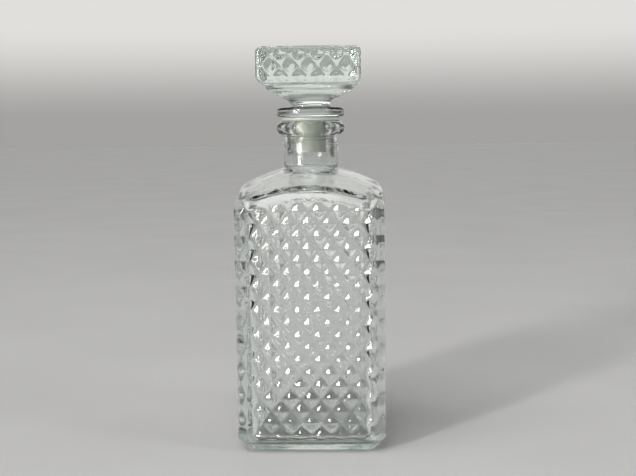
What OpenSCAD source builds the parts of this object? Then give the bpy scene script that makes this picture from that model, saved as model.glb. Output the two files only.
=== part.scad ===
// Square pressed-glass decanter: a hollow bottle, a solid glass stopper and the
// soft sleeve that seals one in the other. Millimetres, +Z up, front face towards -Y.
// The origin is the middle of the base, on the surface that it stands on.

/* [Body] */
// Width of the square body across its flat faces
body_w = 92; // [84:1:110]
// Radius of the body's four upright corners
body_corner_r = 8.3; // [6:0.1:12]
// Height and depth of the sloping heel
heel = 7.5; // [6:0.5:10]
// Height of the shoulder where it meets the neck
shoulder_z = 174; // [160:1:180]
// Slope of the shoulder beside the neck, in degrees
shoulder_slope = 17; // [12:1:20]
// Radius of the shoulder's dome
dome_r = 177; // [150:1:250]

/* [Neck] */
// Outer radius of the neck
neck_r = 17.2; // [16.5:0.1:17.8]
// Outer radius of the pouring lip
lip_r = 21.5; // [20:0.1:24]
// Height of the pouring lip
lip_h = 9.2; // [8:0.1:12]
// Height of the lip's flat rim above the base
rim_z = 203.2; // [200:0.1:225]
// Diameter of the bore through the neck
bore_d = 25; // [24:0.1:26]

/* [Cavity] */
// Thickness of the glass between a face and the cavity
wall = 5.2; // [4:0.1:7]
// Thickness of the glass base
floor_t = 6; // [5:0.5:20]
// Radius of the cavity's upright corners
cavity_corner_r = 13; // [12:0.5:22]

/* [Diamonds] */
// Diamonds across each face of the body
cells_across = 6; // [4:1:6]
// Half diamonds up each face of the body
half_rows = 19; // [9:2:19]
// Width of one diamond
cell_w = 12.25; // [10:0.05:12.5]
// Height of one half diamond
half_row_h = 7.7; // [6:0.1:7.7]
// Height of the pattern's lower edge
panel_z = 10.8; // [10.2:0.1:14]
// Depth of the grooves on the body
groove_depth = 1.9; // [0.8:0.1:2.4]

/* [Stopper] */
// Width of the stopper's square head
head_w = 64; // [60:1:70]
// Height of the stopper's square head
head_h = 23.4; // [20:0.1:28]
// Height from the collar to the head
stem_h = 13.5; // [12:0.1:18]
// Radius of the stem
stem_r = 12.7; // [11:0.1:14]
// Radius of the collar
collar_r = 21.3; // [19.5:0.1:23]
// Thickness of the collar
collar_h = 5.7; // [4:0.1:8]
// Diamonds across each face of the head
head_cells = 5; // [3:1:5]
// Width of one diamond on the head
head_cell_w = 11.6; // [10:0.1:11.6]
// Depth of the grooves on the head
head_groove_depth = 1; // [0.5:0.1:1.5]
// Diameter of the glass plug
plug_d = 16; // [14:0.1:17]

/* [Seal] */
// Outer diameter of the sleeve
sleeve_d = 19.2; // [18.8:0.1:20]
// Depth of the sleeve below the rim
sleeve_h = 19.6; // [16:0.1:24]
// Radius of the flange under the collar
flange_r = 18.4; // [15:0.1:19]
// Thickness of the flange
flange_h = 2.6; // [1.5:0.1:3]
// Number of sealing ribs
ribs = 3; // [1:1:3]
// Thickness of a rib
rib_h = 1.2; // [0.8:0.1:1.5]
// Distance from one rib to the next
rib_pitch = 3.9; // [3:0.1:4.5]

/* [Hidden] */

running_gap = 0.05; // radial clearance of the plug in the sleeve and of the ribs in the bore
arc_steps = 8; // straight steps in each rounded corner
round_steps = 96; // sides of each turned shape
overlap = 1; // how far a cutter runs past the face that it opens
half_w = body_w / 2;
corner_reach = half_w * sqrt(2) - body_corner_r * (sqrt(2) - 1); // from the axis to an upright corner
dome_x = neck_r - dome_r * sin(shoulder_slope); // the centre of the dome's arc
dome_z = shoulder_z - dome_r * cos(shoulder_slope);
dome_steps = 9;
edge_fall = 2.9; // the shoulder's broken edge starts this far under the dome
edge_lean = 31; // and leans in by this many degrees
body_top = shoulder_z + overlap; // above the whole dome
panel_clear = 5.5; // the diamonds end this far under the dome
neck_root_z = shoulder_z - 24; // the neck's solid starts here, inside the body
lip_round = 3.4;
lip_under = 2.2;
neck_fillet = 2.5;
neck_sink = 0.8; // the fillet starts this far under the shoulder, and the lip's underside rises by it

cavity_w = body_w - 2 * wall;
cavity_round = 6; // rounding between the cavity's floor and its walls
cavity_blank_r = 1; // rounding of the cavity's blank above the dome, which cuts it away
cavity_drop = 6; // the cavity's dome lies this far under the shoulder's
bore_low_z = shoulder_z - 20; // the bore's cutter starts here, inside the cavity

flange_z = rim_z;
collar_z = flange_z + flange_h;
stem_z = collar_z + collar_h;
head_z = stem_z + stem_h;
top_z = head_z + head_h;
head_corner_r = 4.2;
head_top_r = 3.2;
head_bottom_r = 5.8;
flare_r = 28.2; // radius of the flared underside where it meets the head
flare_h = 11.5;
collar_round = 1.6;
sleeve_z = rim_z - sleeve_h;
plug_short = 0.6; // the plug ends this far above the sleeve's end
rib_drop = 11.5; // the lowest rib starts this far under the rim

groove_flat = 0.8; // width left between grooves, on top of the diamonds
groove_proud = 0.5; // how far the groove cutters stand out of the face
middle_row = floor(half_rows / 2);
head_panel_inset = 2;

// The height of the shoulder's dome at a distance from the axis.
function dome_at(r) = dome_z + sqrt(pow(dome_r, 2) - pow(r - dome_x, 2));

// The stopper's flared underside, from part 0 at the stem to 1 at the head. It is upright at both ends.
function flare_at(part) =
    [stem_r + (flare_r - stem_r) * part * part * (3 - 2 * part), head_z - flare_h * (1 - part)];

// The corners of a rectangle about x = 0, from y = low to high, with rounded lower and upper corners.
function rounded(width, low, high, r_low, r_high) = concat(
    arc([width / 2 - r_low, low + r_low], r_low, -90),
    arc([width / 2 - r_high, high - r_high], r_high, 0),
    arc([r_high - width / 2, high - r_high], r_high, 90),
    arc([r_low - width / 2, low + r_low], r_low, 180)
);

// A quarter circle as points, going anticlockwise from an angle.
function arc(centre, r, start) =
    [for (i = [0 : arc_steps]) let (a = start + 90 * i / arc_steps) centre + r * [cos(a), sin(a)]];

// The body's profile in x and z: a sloping heel, an upright side and a broken upper edge, which is
// centred on the meeting of side and dome at the height edge_z.
function side_profile(reach, edge_z) = let (
    edge_start = edge_z - edge_fall,
    top_reach = reach - (body_top - edge_start) * tan(edge_lean)
) [
    [heel - reach, 0], [reach - heel, 0], [reach, heel], [reach, edge_start],
    [top_reach, body_top], [-top_reach, body_top], [-reach, edge_start], [-reach, heel]
];

// An upright square prism with rounded corners.
module square_prism(width, r, low, high) {
    translate([0, 0, low])
        linear_extrude(high - low) polygon(rounded(width, -width / 2, width / 2, r, r));
}

// A profile in x and z, drawn out along y and turned about the axis.
module drawn_out(points, length, turn) {
    rotate([0, 0, turn])
        rotate([90, 0, 0])
            linear_extrude(length, center = true) polygon(points);
}

// V grooves along both diagonals of one face, clipped to a panel. across counts whole cells, and the
// grooves cross at the height middle, where shift moves them sideways by part of a cell.
module lattice(across, width, depth, middle, shift, low, high) {
    lean = atan(width / (2 * half_row_h));
    half_top = (width * cos(lean) - groove_flat) / 2;
    spread = half_top * (1 + groove_proud / depth);
    length = 2 * (high - low) + across * width;
    turns = ceil(across / 2 + (high - low) / (4 * half_row_h));
    intersection() {
        translate([-across * width / 2, -groove_proud, low])
            cube([across * width, groove_proud + depth + overlap, high - low]);
        union()
            for (side = [-1, 1], m = [-turns : turns])
                translate([(m + shift) * width, 0, middle])
                    rotate([0, side * lean, 0])
                        linear_extrude(length, center = true)
                            polygon([[-spread, -groove_proud], [spread, -groove_proud], [0, depth]]);
    }
}

// Something made on the front face, repeated on all four.
module on_each_face(reach) {
    for (turn = [0 : 90 : 270])
        rotate([0, 0, turn]) translate([0, -reach, 0]) children();
}

// The solid under the shoulder's dome, lowered by drop.
module under_dome(reach, drop, low) {
    rotate_extrude($fn = round_steps)
        polygon(concat(
            [[0, low], [reach, low]],
            [for (i = [dome_steps : -1 : 0]) let (r = neck_r + (reach - neck_r) * i / dome_steps)
                [r, dome_at(r) - drop]],
            [[0, dome_at(neck_r) - drop]]
        ));
}

module body_outside() {
    intersection() {
        square_prism(body_w, body_corner_r, 0, body_top);
        under_dome(corner_reach + overlap, 0, -overlap);
        drawn_out(side_profile(half_w, dome_at(half_w)), 2 * body_w, 0);
        drawn_out(side_profile(half_w, dome_at(half_w)), 2 * body_w, 90);
        drawn_out(side_profile(corner_reach, dome_at(corner_reach)), 2 * body_w, 45);
        drawn_out(side_profile(corner_reach, dome_at(corner_reach)), 2 * body_w, 135);
    }
}

// The neck with its rounded lip, and a fillet where it leaves the shoulder.
module neck_outside() {
    lip_z = rim_z - lip_h;
    rotate_extrude($fn = round_steps)
        polygon(concat(
            [[0, neck_root_z], [neck_r + neck_fillet, neck_root_z]],
            [for (i = [0 : arc_steps]) let (a = 90 * i / arc_steps)
                [neck_r + neck_fillet * (1 - sin(a)), shoulder_z - neck_sink + neck_fillet * (1 - cos(a))]],
            [[neck_r, lip_z], [lip_r - lip_under, lip_z + neck_sink], [lip_r, lip_z + neck_sink + lip_under]],
            arc([lip_r - lip_round, rim_z - lip_round], lip_round, 0),
            [[0, rim_z]]
        ));
}

module cavity_side(turn) {
    drawn_out(rounded(cavity_w, floor_t, shoulder_z, cavity_round, cavity_blank_r), 2 * body_w, turn);
}

module cavity() {
    intersection() {
        square_prism(cavity_w, cavity_corner_r, floor_t, shoulder_z);
        cavity_side(0);
        cavity_side(90);
        under_dome(corner_reach, cavity_drop, 0);
    }
}

module decanter() {
    color([0.78, 0.85, 0.82, 0.6])
        difference() {
            union() {
                body_outside();
                neck_outside();
            }
            cavity();
            translate([0, 0, bore_low_z]) cylinder(d = bore_d, h = rim_z, $fn = round_steps);
            intersection() {
                on_each_face(half_w) translate([0, 0, panel_z])
                    lattice(cells_across, cell_w, groove_depth, middle_row * half_row_h,
                        (middle_row % 2) / 2, 0, half_rows * half_row_h);
                under_dome(corner_reach + overlap, panel_clear, -overlap);
            }
        }
}

module stopper_head() {
    difference() {
        intersection() {
            square_prism(head_w, head_corner_r, head_z, top_z);
            drawn_out(rounded(head_w, head_z, top_z, head_bottom_r, head_top_r), 2 * head_w, 0);
            drawn_out(rounded(head_w, head_z, top_z, head_bottom_r, head_top_r), 2 * head_w, 90);
        }
        on_each_face(head_w / 2) translate([0, 0, head_z + head_h / 2])
            lattice(head_cells, head_cell_w, head_groove_depth, 0, 0.5,
                head_panel_inset - head_h / 2, head_h / 2 - head_panel_inset);
    }
}

// The flared underside, the stem, the collar and the plug, turned about the axis.
module stopper_stem() {
    rotate_extrude($fn = round_steps)
        polygon(concat(
            [[0, collar_z], [collar_r - collar_round, collar_z], [collar_r, collar_z + collar_round]],
            [[collar_r, stem_z - collar_round], [collar_r - collar_round, stem_z], [stem_r, stem_z]],
            [for (i = [0 : arc_steps]) flare_at(i / arc_steps)],
            [[flare_r, head_z + overlap], [0, head_z + overlap]]
        ));
    translate([0, 0, sleeve_z + plug_short])
        cylinder(d = plug_d, h = collar_z + overlap - sleeve_z - plug_short, $fn = round_steps);
}

module stopper() {
    color([0.80, 0.87, 0.84, 0.6])
        union() {
            stopper_head();
            stopper_stem();
        }
}

module stopper_seal() {
    color([0.86, 0.93, 0.89, 0.9])
        difference() {
            union() {
                translate([0, 0, sleeve_z])
                    cylinder(d = sleeve_d, h = sleeve_h + overlap, $fn = round_steps);
                translate([0, 0, flange_z])
                    cylinder(r = flange_r, h = flange_h, $fn = round_steps);
                for (i = [0 : ribs - 1])
                    translate([0, 0, rim_z - rib_drop + i * rib_pitch])
                        cylinder(d = bore_d - 2 * running_gap, h = rib_h, $fn = round_steps);
            }
            translate([0, 0, sleeve_z - overlap])
                cylinder(d = plug_d + 2 * running_gap, h = sleeve_h + flange_h + 2 * overlap,
                    $fn = round_steps);
        }
}

decanter();
stopper();
stopper_seal();
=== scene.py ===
import math

import bpy
import numpy as np
from mathutils import Matrix, Vector


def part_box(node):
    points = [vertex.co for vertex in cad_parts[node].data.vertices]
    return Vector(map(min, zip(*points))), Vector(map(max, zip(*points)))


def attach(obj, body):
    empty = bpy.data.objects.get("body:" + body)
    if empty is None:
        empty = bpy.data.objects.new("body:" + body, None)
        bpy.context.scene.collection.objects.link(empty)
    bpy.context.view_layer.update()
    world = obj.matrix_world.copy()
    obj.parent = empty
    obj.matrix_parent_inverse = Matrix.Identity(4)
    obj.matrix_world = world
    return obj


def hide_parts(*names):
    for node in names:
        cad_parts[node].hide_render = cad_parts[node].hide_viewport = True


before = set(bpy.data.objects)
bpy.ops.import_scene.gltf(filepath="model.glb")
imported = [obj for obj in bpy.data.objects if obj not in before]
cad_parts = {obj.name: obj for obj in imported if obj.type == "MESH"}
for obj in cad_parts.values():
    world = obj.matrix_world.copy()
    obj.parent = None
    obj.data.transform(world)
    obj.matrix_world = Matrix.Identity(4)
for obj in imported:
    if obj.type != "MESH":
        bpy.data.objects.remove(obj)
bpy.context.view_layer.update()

# The looks of a square pressed-glass decanter. Its own lengths are in millimetres, in the CAD's frame,
# and become metres when a mesh is made. The floor, the lights and the cards are in metres.
MM = 0.001
_, bottle_high = (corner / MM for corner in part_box("decanter"))
stopper_low, stopper_high = (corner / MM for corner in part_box("stopper"))
seal_low, seal_high = (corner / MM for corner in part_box("stopper_seal"))

# The bottle
BODY_HALF = bottle_high.x
RIM_Z = bottle_high.z
BODY_CORNER = 8.3
HEEL = 7.5
HEEL_H = 8.2
HEEL_CORNER = 3.0
HEEL_ROUND_LOW, HEEL_ROUND_HIGH = 2.2, 1.4
SHOULDER_Z = 174.0
SHOULDER_SLOPE = math.radians(17)
DOME_R = 177.0
EDGE_ROUND = 9.0
NECK_R = 17.2
NECK_FILLET = 2.5
LIP_R = 21.5
LIP_HALF_H = 4.3
LIP_DEPTH = 3.6
LIP_FILLET = 1.4
LIP_START = math.radians(-68)
RIM_EDGE = 1.5
BORE_R = 12.5
BORE_ROUND = 1.0
THROAT_ROUND = 4.0
WALL = 5.2
CAVITY_HALF = BODY_HALF - WALL
CAVITY_CORNER = 13.0
CAVITY_DROP = 6.0
CAVITY_EDGE = 6.5
FLOOR_Z = 6.0
FLOOR_ROUND = 6.0
FLOOR_CROWN = 2.0

# The pressed diamonds
CELLS = 6
CELL_W = 12.25
ROW_H = 7.7
PANEL_Z = 10.8
LEVEL_ROWS = 17
ARCHED_ROWS = 2
GROOVE_DEPTH = 1.9
STEPS = 7

# The stopper
HEAD_HALF = stopper_high.x
TOP_Z = stopper_high.z
HEAD_H = 23.4
HEAD_Z = TOP_Z - HEAD_H
HEAD_CORNER = 3.0
HEAD_TOP_ROUND = 3.2
HEAD_BOTTOM_ROUND = 5.8
HEAD_CELLS = 5
HEAD_CELL_W = 11.5
HEAD_ROW_H = 6.8
HEAD_GROOVE_DEPTH = 0.9
HEAD_PANEL_INSET = 2.0
HEAD_PANEL_FADE = 0.9
PEBBLE_SOFT = 0.2
FLARE_R = 28.2
FLARE_H = 11.5
FLARE_BUILT = 0.97
STEM_R = 12.7
STEM_FILLET = 1.2
COLLAR_R = 21.3
COLLAR_H = 5.7
COLLAR_ROUND = 1.8
PLUG_R = 8.0
PLUG_ROUND = 0.8

# The seal
FLANGE_R = seal_high.x
COLLAR_Z = seal_high.z
SLEEVE_Z = seal_low.z
STEM_Z = COLLAR_Z + COLLAR_H
FLANGE_EDGE = 0.7
FLANGE_ROOT = 0.6
SLEEVE_R = 9.6
SLEEVE_BORE = 8.05
BORE_EDGE = 0.3
SLEEVE_EDGE = 0.5
RIBS = 3
RIB_R = BORE_R - 0.05
RIB_H = 1.2
RIB_ROOT_R = 0.3
RIB_ROOT_H = 0.5
RIB_PITCH = 3.9
FIRST_RIB_Z = 191.7
RING_STEPS = 96

# How far the scuffs reach up from the base, and down from the stopper's top
SCUFF_H = 1.5


def dome_at(r):
    """Height of the shoulder's dome at a distance from the axis."""
    across = r - NECK_R + DOME_R * math.sin(SHOULDER_SLOPE)
    return SHOULDER_Z - DOME_R * math.cos(SHOULDER_SLOPE) + np.sqrt(DOME_R**2 - across**2)


def dome_fall(r):
    """Slope of the dome at a distance from the axis, as fall over run."""
    across = r - NECK_R + DOME_R * math.sin(SHOULDER_SLOPE)
    return across / np.sqrt(DOME_R**2 - across**2)


def smooth_min(a, b, width):
    """The lower of a and b, with the crease between them rounded over width."""
    near = np.maximum(width - np.abs(a - b), 0) / width
    return np.minimum(a, b) - near**2 * width / 4


def crossing(x, z, cell_w, row_h):
    """How many falling and how many rising grooves lie between here and the crossing at 0, 0."""
    return x / cell_w + z / (2 * row_h), x / cell_w - z / (2 * row_h)


def pressed(x, z):
    """How deep the bottle's pattern lies below the face. groove and ridge are how soft the groove's
    bottom and the diamond's edges are, as shares of half a diamond."""
    groove, ridge = 0.2, 0.1
    full = math.hypot(1, groove) - groove
    rise = [
        (np.hypot(2 * np.abs(s - np.round(s)), groove) - groove) / full
        for s in crossing(x, z, CELL_W, ROW_H)
    ]
    return GROOVE_DEPTH * (1 - smooth_min(rise[0], rise[1], ridge) / (1 - ridge / 4))


def pebbled(x, z):
    """The pattern on the stopper, from 0 on a worn, round-topped diamond to 1 in the grooves between."""
    falling, rising = crossing(x, z, HEAD_CELL_W, HEAD_ROW_H)
    rise = np.hypot(np.sin(math.pi * falling) * np.sin(math.pi * rising), PEBBLE_SOFT) - PEBBLE_SOFT
    return 1 - rise / (math.hypot(1, PEBBLE_SOFT) - PEBBLE_SOFT)


def nearer_groove(x, z, cell_w, row_h):
    """How to split a quad along the nearer groove: 2 where that one falls to the right, or else 1."""
    to_groove = [np.abs(count - np.round(count)) for count in crossing(x, z, cell_w, row_h)]
    return np.where(to_groove[0] < to_groove[1], 2, 1)


class Outline:
    """Columns round a rounded square, with a fixed number along each side's panel and round each
    corner. The front side comes first, from left to right, and the rest follow anticlockwise."""

    def __init__(self, half, corner, panel_half, panel_steps, corner_steps):
        self.flat = half - corner
        panel = np.linspace(-panel_half, panel_half, panel_steps + 1)
        along = np.concatenate(([-self.flat], panel, [self.flat]))
        turn = np.arange(1, corner_steps) / corner_steps * math.pi / 2
        on_panel = np.concatenate(([False], np.ones(len(panel), bool), [False], np.zeros(len(turn), bool)))
        self.along = np.concatenate((along, np.full(len(turn), self.flat)))
        self.turn = np.concatenate((np.zeros(len(along)), turn))
        self.side = np.tile(self.along, 4)
        self.panel = np.tile(on_panel, 4)
        self.count = len(self.side)

    def at(self, half, corner):
        """The columns' places and outward normals on a rounded square of this size."""
        normal = np.stack((np.sin(self.turn), -np.cos(self.turn)), 1)
        middle = np.stack((self.along / self.flat, np.full(len(self.along), -1.0)), 1) * (half - corner)
        place = middle + corner * normal
        places, normals = [], []
        for c, s in ((1, 0), (0, 1), (-1, 0), (0, -1)):
            spin = np.array([[c, s], [-s, c]])
            places.append(place @ spin)
            normals.append(normal @ spin)
        return np.concatenate(places), np.concatenate(normals)


def reach(angle, half, corner):
    """Distance from the axis to a rounded square in a direction."""
    a = np.abs((angle + math.pi / 4) % (math.pi / 2) - math.pi / 4)
    inner = half - corner
    along = inner * (np.cos(a) + np.sin(a))
    on_corner = along + np.sqrt(np.maximum(along**2 - 2 * inner**2 + corner**2, 0))
    return np.where(np.tan(a) * half <= inner, half / np.cos(a), on_corner)


class Loft:
    """A closed mesh made of rings, from one pole to another or round to the first ring again. Each ring
    runs anticlockwise seen from above."""

    def __init__(self):
        self.rings, self.faces, self.total = [], [], 0
        self.start_pole = self.first = self.last = self.last_points = None

    def add(self, points):
        first = self.total
        self.rings.append(points)
        self.total += len(points)
        return np.arange(first, self.total)

    def pole(self, z):
        """Adds a point on the axis, to start from or to end at."""
        ids = self.add(np.array([[0.0, 0.0, z]]))
        if self.last is None:
            self.start_pole = ids[0]
            return
        for a, b in zip(self.last, np.roll(self.last, -1)):
            self.faces.append((a, b, ids[0]))

    def ring(self, xy, z, split=None):
        """Adds a ring. For each column, split says how the quad from it to the next one is cut: not at
        all for 0, from low left to high right for 1, and the other way for 2."""
        points = np.column_stack((xy, np.broadcast_to(z, len(xy))))
        ids = self.add(points)
        if self.last is None:
            self.first = ids
            if self.start_pole is not None:
                for a, b in zip(ids, np.roll(ids, -1)):
                    self.faces.append((self.start_pole, b, a))
        elif len(self.last) == len(ids):
            self.quads(self.last, ids, split)
        else:
            self.bridge(self.last, ids, self.angles(self.last_points), self.angles(points))
        self.last = ids
        self.last_points = points

    def quads(self, low, high, split):
        low2, high2 = np.roll(low, -1), np.roll(high, -1)
        split = np.zeros(len(low), int) if split is None else split
        whole, one, two = split == 0, split == 1, split == 2
        self.faces += np.stack((low, low2, high2, high), 1)[whole].tolist()
        self.faces += np.stack((low, low2, high2), 1)[one].tolist()
        self.faces += np.stack((low, high2, high), 1)[one].tolist()
        self.faces += np.stack((low, low2, high), 1)[two].tolist()
        self.faces += np.stack((low2, high2, high), 1)[two].tolist()

    @staticmethod
    def angles(points):
        """The points' directions from the axis, and the first one's again after a full turn."""
        a = np.unwrap(np.arctan2(points[:, 1], points[:, 0]))
        return np.append(a, a[0] + 2 * math.pi)

    def bridge(self, low, high, low_angles, high_angles):
        """Joins two rings with different numbers of points, by triangles in the order of the angles."""
        low_angles = low_angles - 2 * math.pi * round((low_angles[0] - high_angles[0]) / (2 * math.pi))
        i = j = 0
        while i < len(low) or j < len(high):
            a, b = low[i % len(low)], high[j % len(high)]
            if j == len(high) or (i < len(low) and low_angles[i + 1] <= high_angles[j + 1]):
                self.faces.append((a, low[(i + 1) % len(low)], b))
                i += 1
            else:
                self.faces.append((a, high[(j + 1) % len(high)], b))
                j += 1

    def close(self):
        """Joins the last ring to the first, for a ring-shaped piece with no poles."""
        self.quads(self.last, self.first, None)

    def build(self, name):
        mesh = bpy.data.meshes.new(name)
        mesh.from_pydata((np.concatenate(self.rings) * MM).tolist(), [], [tuple(f) for f in self.faces])
        mesh.polygons.foreach_set("use_smooth", np.ones(len(mesh.polygons), bool))
        mesh.validate()
        mesh.update()
        piece = bpy.data.objects.new(name, mesh)
        bpy.context.scene.collection.objects.link(piece)
        return piece


def circle(count, r):
    """A ring of points round the axis, starting towards +X."""
    a = np.arange(count) / count * 2 * math.pi
    return np.stack((np.cos(a), np.sin(a)), 1) * r


def arc(centre_r, centre_z, r, start, end, steps):
    """Points of an arc in a profile, as pairs of radius and height. Angles are in degrees."""
    return [
        (centre_r + r * math.cos(math.radians(a)), centre_z + r * math.sin(math.radians(a)))
        for a in np.linspace(start, end, steps + 1)
    ]


def bottle_body(loft, outline):
    """The base, the heel, the four diamond faces and the shoulder, up to the neck."""
    loft.pole(0)
    heel_low = BODY_HALF - HEEL
    for share in (0.25, 0.5, 0.75):
        xy, _ = outline.at(heel_low * share, HEEL_CORNER * share)
        loft.ring(xy, 0)
    tangent = math.tan(math.pi / 8)
    heel = arc(heel_low - HEEL_ROUND_LOW * tangent, HEEL_ROUND_LOW, HEEL_ROUND_LOW, -90, -45, 5)
    heel += arc(BODY_HALF - HEEL_ROUND_HIGH, HEEL_H + HEEL_ROUND_HIGH * tangent, HEEL_ROUND_HIGH, -45, 0, 4)
    for half, z in heel:
        part = (half - heel_low) / HEEL
        xy, _ = outline.at(half, HEEL_CORNER + (BODY_CORNER - HEEL_CORNER) * part)
        loft.ring(xy, z)

    place, normal = outline.at(BODY_HALF, BODY_CORNER)
    far = np.hypot(place[:, 0], place[:, 1])
    outward = np.sum(place * normal, 1) / far
    lean = np.arctan(dome_fall(far) * outward)
    bend = math.pi / 2 - lean
    edge_z = dome_at(far) - EDGE_ROUND * np.tan(bend / 2)

    level = LEVEL_ROWS * STEPS
    arched = ARCHED_ROWS * STEPS
    level_top = PANEL_Z + LEVEL_ROWS * ROW_H
    last_z = None
    for k in range(level + arched + 1):
        if k <= level:
            z = np.full(outline.count, PANEL_Z + k * ROW_H / STEPS)
        else:
            z = level_top + (edge_z - level_top) * (k - level) / arched
        depth = pressed(outline.side, z - PANEL_Z) * outline.panel
        if k == level + arched:
            depth = np.zeros(outline.count)
        split = None
        if last_z is not None:
            middle = outline.side + CELL_W / (4 * STEPS)
            flat = outline.panel & np.roll(outline.panel, -1)
            split = np.where(flat, nearer_groove(middle, (z + last_z) / 2 - PANEL_Z, CELL_W, ROW_H), 0)
        loft.ring(place - normal * depth[:, None], z, split)
        last_z = z

    edge_steps = 7
    for j in range(1, edge_steps + 1):
        a = bend * j / edge_steps
        xy = place - normal * (EDGE_ROUND * (1 - np.cos(a)))[:, None]
        z = edge_z + EDGE_ROUND * np.sin(a)
        loft.ring(xy, z)
    far = np.hypot(xy[:, 0], xy[:, 1])
    proud = z - dome_at(far)
    start_slope = math.radians(18)
    fillet_r = NECK_R + NECK_FILLET * (1 - math.sin(start_slope))
    dome_steps = 14
    for j in range(1, dome_steps + 1):
        part = j / dome_steps
        r = far + (fillet_r - far) * part
        loft.ring(xy * (r / far)[:, None], dome_at(r) + proud * (1 - part) ** 2)
    return fillet_r, start_slope


def bottle_neck(loft, way, fillet_r, start_slope):
    """The neck, the lip and the bore, as one profile turned about the axis."""
    base_z = float(dome_at(fillet_r))
    profile = [
        (
            NECK_R + NECK_FILLET * (1 - math.sin(a)),
            base_z + NECK_FILLET * (math.cos(start_slope) - math.cos(a)),
        )
        for a in np.linspace(start_slope, math.pi / 2, 6)[1:]
    ]
    lip_z = RIM_Z - LIP_HALF_H
    under_z = lip_z - LIP_HALF_H
    fillet_z = under_z - LIP_FILLET
    neck_z = profile[-1][1]
    profile += [(NECK_R, neck_z + (fillet_z - neck_z) * part) for part in (0.25, 0.5, 0.75)]
    profile += arc(NECK_R + LIP_FILLET, fillet_z, LIP_FILLET, 180, 100, 5)
    middle_r = LIP_R - LIP_DEPTH
    profile += [
        (middle_r + LIP_DEPTH * math.cos(a), lip_z + LIP_HALF_H * math.sin(a))
        for a in np.linspace(LIP_START, math.pi / 2, 16)
    ]
    profile += [(middle_r - RIM_EDGE, RIM_Z)]
    profile += arc(BORE_R + BORE_ROUND, RIM_Z - BORE_ROUND, BORE_ROUND, 90, 180, 5)
    throat_slope = math.atan(float(dome_fall(BORE_R + THROAT_ROUND)))
    turn_end = 270 - math.degrees(throat_slope)
    end_r = BORE_R + THROAT_ROUND * (1 + math.cos(math.radians(turn_end)))
    throat_z = float(dome_at(end_r)) - CAVITY_DROP - THROAT_ROUND * math.sin(math.radians(turn_end))
    top_z = RIM_Z - BORE_ROUND
    profile += [(BORE_R, top_z + (throat_z - top_z) * part) for part in np.linspace(0, 1, 7)[1:-1]]
    profile += arc(BORE_R + THROAT_ROUND, throat_z, THROAT_ROUND, 180, turn_end, 6)
    for r, z in profile:
        loft.ring(way * r, z)
    return profile[-1][0]


def bottle_cavity(loft, outline, way, throat_r):
    """The inside: a domed roof, upright walls and a rounded floor, a little uneven as pressed glass is."""
    wall, normal = outline.at(CAVITY_HALF, CAVITY_CORNER)
    far = np.hypot(wall[:, 0], wall[:, 1])
    outward = np.sum(wall * normal, 1) / far
    bend = math.pi / 2 - np.arctan(dome_fall(far) * outward)
    edge_z = dome_at(far) - CAVITY_DROP - CAVITY_EDGE * np.tan(bend / 2)

    def edge(a):
        return wall - normal * (CAVITY_EDGE * (1 - np.cos(a)))[:, None], edge_z + CAVITY_EDGE * np.sin(a)

    xy, z = edge(bend)
    roof_far = np.hypot(xy[:, 0], xy[:, 1])
    proud = z - dome_at(roof_far) + CAVITY_DROP
    throat = way * throat_r
    roof_steps = 9
    for j in range(1, roof_steps + 1):
        part = j / roof_steps
        place = throat + (xy - throat) * part
        r = np.hypot(place[:, 0], place[:, 1])
        loft.ring(place, dome_at(r) - CAVITY_DROP + proud * part**2)
    edge_steps = 6
    for j in range(edge_steps - 1, -1, -1):
        loft.ring(*edge(bend * j / edge_steps))
    angle = np.arctan2(wall[:, 1], wall[:, 0])
    low_z = FLOOR_Z + FLOOR_ROUND
    wall_steps = 20
    for j in range(1, wall_steps + 1):
        part = j / wall_steps
        z = edge_z + (low_z - edge_z) * part
        uneven = 0.2 * np.sin(z / 11 + 3 * angle) + 0.12 * np.sin(z / 17 - 5 * angle + 1)
        fade = math.sin(math.pi * part) ** 2
        loft.ring(wall + normal * (fade * uneven)[:, None], z)
    floor_steps = 7
    for j in range(1, floor_steps + 1):
        a = math.pi / 2 * j / floor_steps
        xy = wall - normal * FLOOR_ROUND * (1 - math.cos(a))
        loft.ring(xy, low_z - FLOOR_ROUND * math.sin(a))
    for share in (0.85, 0.7, 0.5, 0.35, 0.2, 0.1):
        loft.ring(xy * share, FLOOR_Z + FLOOR_CROWN * (1 - share**2) ** 2)
    loft.pole(FLOOR_Z + FLOOR_CROWN)


def make_bottle():
    outline = Outline(
        BODY_HALF, BODY_CORNER, CELLS * CELL_W / 2, panel_steps=2 * CELLS * STEPS, corner_steps=9
    )
    loft = Loft()
    fillet_r, start_slope = bottle_body(loft, outline)
    flat = CAVITY_HALF - CAVITY_CORNER
    inner = Outline(CAVITY_HALF, CAVITY_CORNER, flat - 0.5, panel_steps=22, corner_steps=13)
    wall, _ = inner.at(CAVITY_HALF, CAVITY_CORNER)
    way = wall / np.hypot(wall[:, 0], wall[:, 1])[:, None]
    throat_r = bottle_neck(loft, way, fillet_r, start_slope)
    bottle_cavity(loft, inner, way, throat_r)
    return loft.build("bottle_glass")


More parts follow.
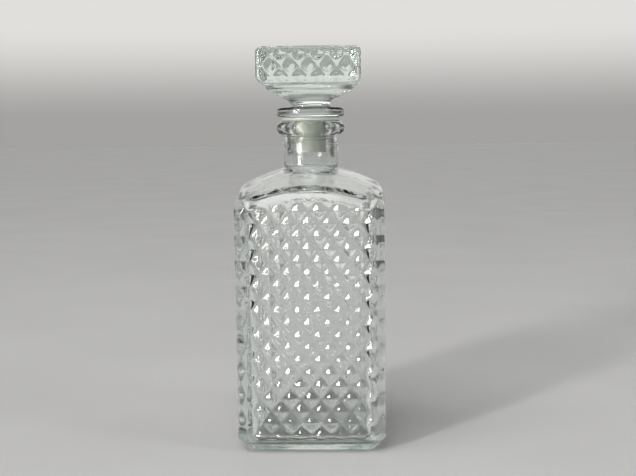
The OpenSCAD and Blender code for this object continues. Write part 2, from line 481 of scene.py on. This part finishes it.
def make_stopper():
    """The glass stopper, from the end of its plug to the top of its head."""
    panel_half_w = HEAD_CELLS * HEAD_CELL_W / 2
    outline = Outline(
        HEAD_HALF, HEAD_CORNER, panel_half_w, panel_steps=2 * HEAD_CELLS * STEPS, corner_steps=7
    )
    corner, _ = outline.at(HEAD_HALF, HEAD_CORNER)
    angle = np.arctan2(corner[:, 1], corner[:, 0])
    way = np.stack((np.cos(angle), np.sin(angle)), 1)
    loft = Loft()
    plug_z = stopper_low.z
    loft.pole(plug_z)
    profile = [(PLUG_R * 0.5, plug_z)]
    profile += arc(PLUG_R - PLUG_ROUND, plug_z + PLUG_ROUND, PLUG_ROUND, -90, 0, 4)
    profile += [(PLUG_R, plug_z + (COLLAR_Z - plug_z) * part) for part in (0.25, 0.5, 0.75, 0.99)]
    profile += [(PLUG_R + 0.4, COLLAR_Z), (COLLAR_R * 0.6, COLLAR_Z)]
    profile += arc(COLLAR_R - COLLAR_ROUND, COLLAR_Z + COLLAR_ROUND, COLLAR_ROUND, -90, 0, 6)
    profile += arc(COLLAR_R - COLLAR_ROUND, STEM_Z - COLLAR_ROUND, COLLAR_ROUND, 0, 90, 6)
    profile += [(STEM_R + 3.5, STEM_Z)]
    profile += arc(STEM_R + STEM_FILLET, STEM_Z + STEM_FILLET, STEM_FILLET, -90, -180, 5)
    for r, z in profile:
        loft.ring(way * r, z)
    # The flare stops just short of the head's underside, so that no sharp edge is left between them.
    flare_steps = 14
    for j in range(1, flare_steps + 1):
        part = FLARE_BUILT * j / flare_steps
        r = STEM_R + (FLARE_R - STEM_R) * part**2 * (3 - 2 * part)
        loft.ring(way * r, HEAD_Z - FLARE_H * (1 - part))
    # The round flare turns square in the last fraction of a millimetre, on the head's flat underside.
    for half, corner_r, z in ((28.4, 28.4, 0.1), (28.6, 20.0, 0.3)):
        loft.ring(way * reach(angle, half, corner_r)[:, None], HEAD_Z + z)

    # Each row is how far it lies inside the face, its height, and how fast its corner widens with that.
    centre = HEAD_Z + HEAD_H / 2
    rows = [
        (HEAD_BOTTOM_ROUND * (1 - math.cos(a)), HEAD_Z + HEAD_BOTTOM_ROUND * (1 - math.sin(a)), 0.5)
        for a in np.radians(np.linspace(60, 0, 8))
    ]
    side_low, side_high = HEAD_Z + HEAD_BOTTOM_ROUND, TOP_Z - HEAD_TOP_ROUND
    step = HEAD_ROW_H / STEPS
    rows += [
        (0.0, centre + k * step, 0.0)
        for k in range(-2 * STEPS, 2 * STEPS)
        if side_low + step / 3 < centre + k * step < side_high - step / 3
    ]
    rows += [
        (HEAD_TOP_ROUND * (1 - math.cos(a)), side_high + HEAD_TOP_ROUND * math.sin(a), 0.3)
        for a in np.radians(np.linspace(0, 90, 8))
    ]
    panel_half_h = HEAD_H / 2 - HEAD_PANEL_INSET
    last_z = None
    for inset, z, widen in rows:
        xy, normal = outline.at(HEAD_HALF - inset, HEAD_CORNER + widen * inset)
        off = z - centre
        fade = min(max((panel_half_h - abs(off)) / HEAD_PANEL_FADE, 0), 1)
        depth = HEAD_GROOVE_DEPTH * pebbled(outline.side - HEAD_CELL_W / 2, off) * outline.panel * fade
        split = None
        if last_z is not None:
            middle = outline.side - HEAD_CELL_W / 2 + HEAD_CELL_W / (4 * STEPS)
            flat = outline.panel & np.roll(outline.panel, -1)
            split = np.where(flat, nearer_groove(middle, (off + last_z) / 2, HEAD_CELL_W, HEAD_ROW_H), 0)
        loft.ring(xy - normal * depth[:, None], z, split)
        last_z = off
    for share in (0.8, 0.6, 0.4, 0.2):
        loft.ring(xy * share, TOP_Z)
    loft.pole(TOP_Z)
    return loft.build("stopper_glass")


def make_seal():
    """The soft sleeve: a flange with rounded edges, a tube, and ribs with rounded tips."""
    loft = Loft()
    profile = [(SLEEVE_BORE, SLEEVE_Z + BORE_EDGE), (SLEEVE_BORE + BORE_EDGE, SLEEVE_Z)]
    profile += arc(SLEEVE_R - SLEEVE_EDGE, SLEEVE_Z + SLEEVE_EDGE, SLEEVE_EDGE, -90, 0, 3)
    tip = RIB_H / 2
    for i in range(RIBS):
        low = FIRST_RIB_Z + i * RIB_PITCH
        high = low + RIB_H
        profile += [(SLEEVE_R, low - RIB_ROOT_H), (SLEEVE_R + RIB_ROOT_R, low - 0.1)]
        profile += arc(RIB_R - tip, low + tip, tip, -90, 90, 6)
        profile += [(SLEEVE_R + RIB_ROOT_R, high + 0.1), (SLEEVE_R, high + RIB_ROOT_H)]
    profile += [(SLEEVE_R, RIM_Z - FLANGE_ROOT), (SLEEVE_R + FLANGE_ROOT, RIM_Z)]
    profile += arc(FLANGE_R - FLANGE_EDGE, RIM_Z + FLANGE_EDGE, FLANGE_EDGE, -90, 0, 4)
    profile += arc(FLANGE_R - FLANGE_EDGE, COLLAR_Z - FLANGE_EDGE, FLANGE_EDGE, 0, 90, 4)
    profile += [(SLEEVE_BORE + BORE_EDGE, COLLAR_Z), (SLEEVE_BORE, COLLAR_Z - BORE_EDGE)]
    for r, z in profile:
        loft.ring(circle(RING_STEPS, r), z)
    loft.close()
    return loft.build("seal_sleeve")


def new_material(name):
    mat = bpy.data.materials.new(name)
    mat.use_nodes = True
    nodes = mat.node_tree.nodes
    return mat, nodes, mat.node_tree.links, nodes["Principled BSDF"]


def noise(nodes, links, place, scale, detail, rough=0.5):
    node = nodes.new("ShaderNodeTexNoise")
    node.inputs["Scale"].default_value = scale
    node.inputs["Detail"].default_value = detail
    node.inputs["Roughness"].default_value = rough
    links.new(place, node.inputs["Vector"])
    return node.outputs["Fac"]


def spread(nodes, links, value, from_low, from_high, to_low, to_high):
    node = nodes.new("ShaderNodeMapRange")
    node.inputs["From Min"].default_value = from_low
    node.inputs["From Max"].default_value = from_high
    node.inputs["To Min"].default_value = to_low
    node.inputs["To Max"].default_value = to_high
    links.new(value, node.inputs["Value"])
    return node.outputs["Result"]


def combine(nodes, links, operation, a, b):
    node = nodes.new("ShaderNodeMath")
    node.operation = operation
    links.new(a, node.inputs[0])
    links.new(b, node.inputs[1])
    return node.outputs[0]


def bump(nodes, links, height, distance, before=None):
    node = nodes.new("ShaderNodeBump")
    node.inputs["Strength"].default_value = 1.0
    node.inputs["Distance"].default_value = distance
    links.new(height, node.inputs["Height"])
    if before is not None:
        links.new(before, node.inputs["Normal"])
    return node.outputs["Normal"]


def glass_material(name, worn_z, worn_h):
    """Clear soda glass with a faint grey-green body colour, the slow waves and fine chill marks of a
    pressed surface, and scuffs that fade out from the height worn_z over worn_h, up or down."""
    mat, nodes, links, shader = new_material(name)
    place = nodes.new("ShaderNodeTexCoord").outputs["Object"]
    shader.inputs["Base Color"].default_value = (0.985, 0.995, 0.99, 1)
    shader.inputs["IOR"].default_value = 1.5
    shader.inputs["Transmission Weight"].default_value = 1.0
    height = nodes.new("ShaderNodeSeparateXYZ")
    links.new(place, height.inputs[0])
    worn = spread(nodes, links, height.outputs["Z"], (worn_z + worn_h) * MM, worn_z * MM, 0, 1)
    scratches = noise(nodes, links, place, scale=900, detail=4, rough=0.7)
    scuffs = spread(nodes, links, scratches, 0.52, 0.7, 0, 0.3)
    handling = noise(nodes, links, place, scale=45, detail=3)
    film = spread(nodes, links, handling, 0.45, 0.75, 0.0, 0.035)
    rough = combine(nodes, links, "ADD", film, combine(nodes, links, "MULTIPLY", worn, scuffs))
    links.new(rough, shader.inputs["Roughness"])
    waves = bump(nodes, links, noise(nodes, links, place, scale=70, detail=1), 0.3 * MM)
    marks = noise(nodes, links, place, scale=420, detail=2)
    links.new(bump(nodes, links, marks, 0.04 * MM, waves), shader.inputs["Normal"])
    tint = nodes.new("ShaderNodeVolumeAbsorption")
    tint.inputs["Color"].default_value = (0.72, 0.87, 0.80, 1)
    tint.inputs["Density"].default_value = 5.0
    links.new(tint.outputs["Volume"], nodes["Material Output"].inputs["Volume"])
    return mat


def seal_material():
    """Milky polyethylene, a little green, slightly mottled and satin."""
    mat, nodes, links, shader = new_material("seal_plastic_translucent")
    place = nodes.new("ShaderNodeTexCoord").outputs["Object"]
    cloud = noise(nodes, links, place, scale=160, detail=3)
    tone = nodes.new("ShaderNodeMix")
    tone.data_type = "RGBA"
    tone.inputs["A"].default_value = (0.86, 0.89, 0.82, 1)
    tone.inputs["B"].default_value = (0.94, 0.96, 0.90, 1)
    links.new(spread(nodes, links, cloud, 0.35, 0.65, 0, 1), tone.inputs["Factor"])
    links.new(tone.outputs["Result"], shader.inputs["Base Color"])
    links.new(spread(nodes, links, cloud, 0.3, 0.7, 0.28, 0.42), shader.inputs["Roughness"])
    shader.inputs["IOR"].default_value = 1.5
    shader.inputs["Transmission Weight"].default_value = 0.3
    grain = noise(nodes, links, place, scale=900, detail=2)
    links.new(bump(nodes, links, grain, 0.02 * MM), shader.inputs["Normal"])
    return mat


def floor_material():
    mat, nodes, links, shader = new_material("pale_floor")
    place = nodes.new("ShaderNodeTexCoord").outputs["Object"]
    tone = spread(nodes, links, noise(nodes, links, place, scale=6, detail=3), 0.3, 0.7, 0.60, 0.63)
    links.new(tone, shader.inputs["Base Color"])
    shader.inputs["Roughness"].default_value = 0.7
    return mat


def make_floor():
    """A wide, plain floor, a tenth of a millimetre under the decanter."""
    half = 8.0
    mesh = bpy.data.meshes.new("floor")
    z = -0.1 * MM
    corners = [(-half, -half, z), (half, -half, z), (half, half, z), (-half, half, z)]
    mesh.from_pydata(corners, [], [(0, 1, 2, 3)])
    floor = bpy.data.objects.new("floor", mesh)
    bpy.context.scene.collection.objects.link(floor)
    floor.data.materials.append(floor_material())


def make_world():
    """A pale studio with a soft bright screen on each of its four sides, darker corners and a darker
    ceiling. Low down it falls to the tone of the distant floor, to hide the horizon from the front."""
    world = bpy.data.worlds.new("studio")
    bpy.context.scene.world = world
    world.use_nodes = True
    nodes, links = world.node_tree.nodes, world.node_tree.links
    way = nodes.new("ShaderNodeTexCoord").outputs["Generated"]
    split = nodes.new("ShaderNodeSeparateXYZ")
    links.new(way, split.inputs[0])
    x2 = combine(nodes, links, "MULTIPLY", split.outputs["X"], split.outputs["X"])
    y2 = combine(nodes, links, "MULTIPLY", split.outputs["Y"], split.outputs["Y"])
    level = combine(nodes, links, "ADD", x2, y2)
    # 0 straight out from a side, and 0.5 towards a corner
    off_axis = combine(nodes, links, "DIVIDE", combine(nodes, links, "MINIMUM", x2, y2), level)
    screens = spread(nodes, links, off_axis, 0.1, 0.32, 0.62, 0.2)
    sky = spread(nodes, links, split.outputs["Z"], 0.3, 0.85, 1.0, 0.42)
    cove = spread(nodes, links, split.outputs["Z"], 0.0, 0.09, 0.57, 1.0)
    cove.node.interpolation_type = "SMOOTHSTEP"
    shade = combine(nodes, links, "MULTIPLY", screens, combine(nodes, links, "MULTIPLY", sky, cove))
    background = nodes["Background"]
    links.new(shade, background.inputs["Strength"])
    background.inputs["Color"].default_value = (1.0, 0.99, 0.97, 1)


def area_light(name, place, aim, width, height, power, colour):
    """A rectangular lamp at a place, turned towards another."""
    light = bpy.data.lights.new(name, "AREA")
    light.shape = "RECTANGLE"
    light.size, light.size_y = width, height
    light.energy = power
    light.color = colour
    lamp = bpy.data.objects.new(name, light)
    lamp.location = place
    lamp.rotation_euler = (Vector(aim) - Vector(place)).to_track_quat("-Z", "Y").to_euler()
    bpy.context.scene.collection.objects.link(lamp)
    return lamp


def dark_card(name, azimuth, distance, width, height):
    """An upright dark card beside the set, which the glass sees and the camera doesn't."""
    mesh = bpy.data.meshes.new(name)
    a = math.radians(azimuth)
    out, side = Vector((math.sin(a), -math.cos(a), 0)), Vector((math.cos(a), math.sin(a), 0))
    middle = out * distance
    half, up = side * width / 2, Vector((0, 0, height))
    corners = [middle - half, middle + half, middle + half + up, middle - half + up]
    mesh.from_pydata([tuple(c) for c in corners], [], [(0, 1, 2, 3)])
    card = bpy.data.objects.new(name, mesh)
    bpy.context.scene.collection.objects.link(card)
    mat, _, _, shader = new_material("dark_card")
    shader.inputs["Base Color"].default_value = (0.02, 0.02, 0.02, 1)
    shader.inputs["Roughness"].default_value = 1.0
    card.data.materials.append(mat)
    card.visible_camera = False
    card.visible_shadow = False
    card.visible_diffuse = False


def make_lights():
    """A tall window at the left, two low panes that show only in reflections, a weak fill and a soft
    ceiling, with a dark card at each side to draw the edges of the glass."""
    middle, lip = (0, 0, 0.13), (0, 0, 0.2)
    pane_far = 1.8
    area_light("window", (-1.38, -1.68, 0.84), middle, 0.24, 0.8, power=22, colour=(1.0, 0.98, 0.95))
    area_light("side_fill", (1.3, -0.6, 0.7), middle, 0.3, 0.8, power=3, colour=(0.95, 0.97, 1.0))
    for i, azimuth in enumerate((-46, -54)):
        a = math.radians(azimuth)
        place = (pane_far * math.sin(a), -pane_far * math.cos(a), 0.28)
        pane = area_light(f"pane_{i}", place, lip, 0.17, 0.34, power=3, colour=(1.0, 0.99, 0.97))
        pane.visible_diffuse = False
    light = bpy.data.lights.new("ceiling", "SUN")
    light.energy = 0.96
    light.angle = math.radians(50)
    lamp = bpy.data.objects.new("ceiling", light)
    lamp.rotation_euler = Vector((0.35, 0.5, -1.2)).to_track_quat("-Z", "Y").to_euler()
    bpy.context.scene.collection.objects.link(lamp)
    for i, azimuth in enumerate((-75, 75)):
        dark_card(f"card_{i}", azimuth, distance=0.9, width=0.3, height=1.0)


def make_camera():
    """The photograph's view: level with the rim, from a little to the right, tipped down."""
    focal_length = 58.5
    distance, height = 661.6 * MM, 203.4 * MM
    azimuth, pitch, roll, aside = (math.radians(a) for a in (2.34, 6.49, -0.69, -0.33))
    place = Vector((distance * math.sin(azimuth), -distance * math.cos(azimuth), height))
    heading = azimuth + aside
    level = math.cos(pitch)
    forward = Vector((-math.sin(heading) * level, math.cos(heading) * level, -math.sin(pitch)))
    right = Vector((math.cos(heading), math.sin(heading), 0))
    up = right.cross(forward)
    turned_right = right * math.cos(roll) + up * math.sin(roll)
    turned_up = up * math.cos(roll) - right * math.sin(roll)
    data = bpy.data.cameras.new("camera")
    data.lens = focal_length
    data.sensor_width = 36
    data.clip_start = 0.01
    camera = bpy.data.objects.new("camera", data)
    axes = Matrix((turned_right, turned_up, -forward)).transposed().to_4x4()
    camera.matrix_world = Matrix.Translation(place) @ axes
    bpy.context.scene.collection.objects.link(camera)
    bpy.context.scene.camera = camera


def set_up_render():
    scene = bpy.context.scene
    scene.view_settings.view_transform = "Standard"
    scene.view_settings.look = "High Contrast"
    scene.view_settings.exposure = -0.18
    scene.cycles.use_denoising = True
    scene.cycles.max_bounces = 32
    scene.cycles.transmission_bounces = 32
    scene.cycles.glossy_bounces = 12
    scene.cycles.transparent_max_bounces = 16


def dress(piece, body, node, material):
    """Puts a new piece on its body, in place of its CAD node."""
    piece.data.materials.append(material)
    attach(piece, body)
    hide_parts(node)


make_camera()
bottle_glass = glass_material("pressed_glass_bottle", 0.0, SCUFF_H)
stopper_glass = glass_material("pressed_glass_stopper", TOP_Z, -SCUFF_H)
dress(make_bottle(), "bottle", "decanter", bottle_glass)
dress(make_stopper(), "stopper_glass", "stopper", stopper_glass)
dress(make_seal(), "seal", "stopper_seal", seal_material())
make_floor()
make_world()
make_lights()
set_up_render()
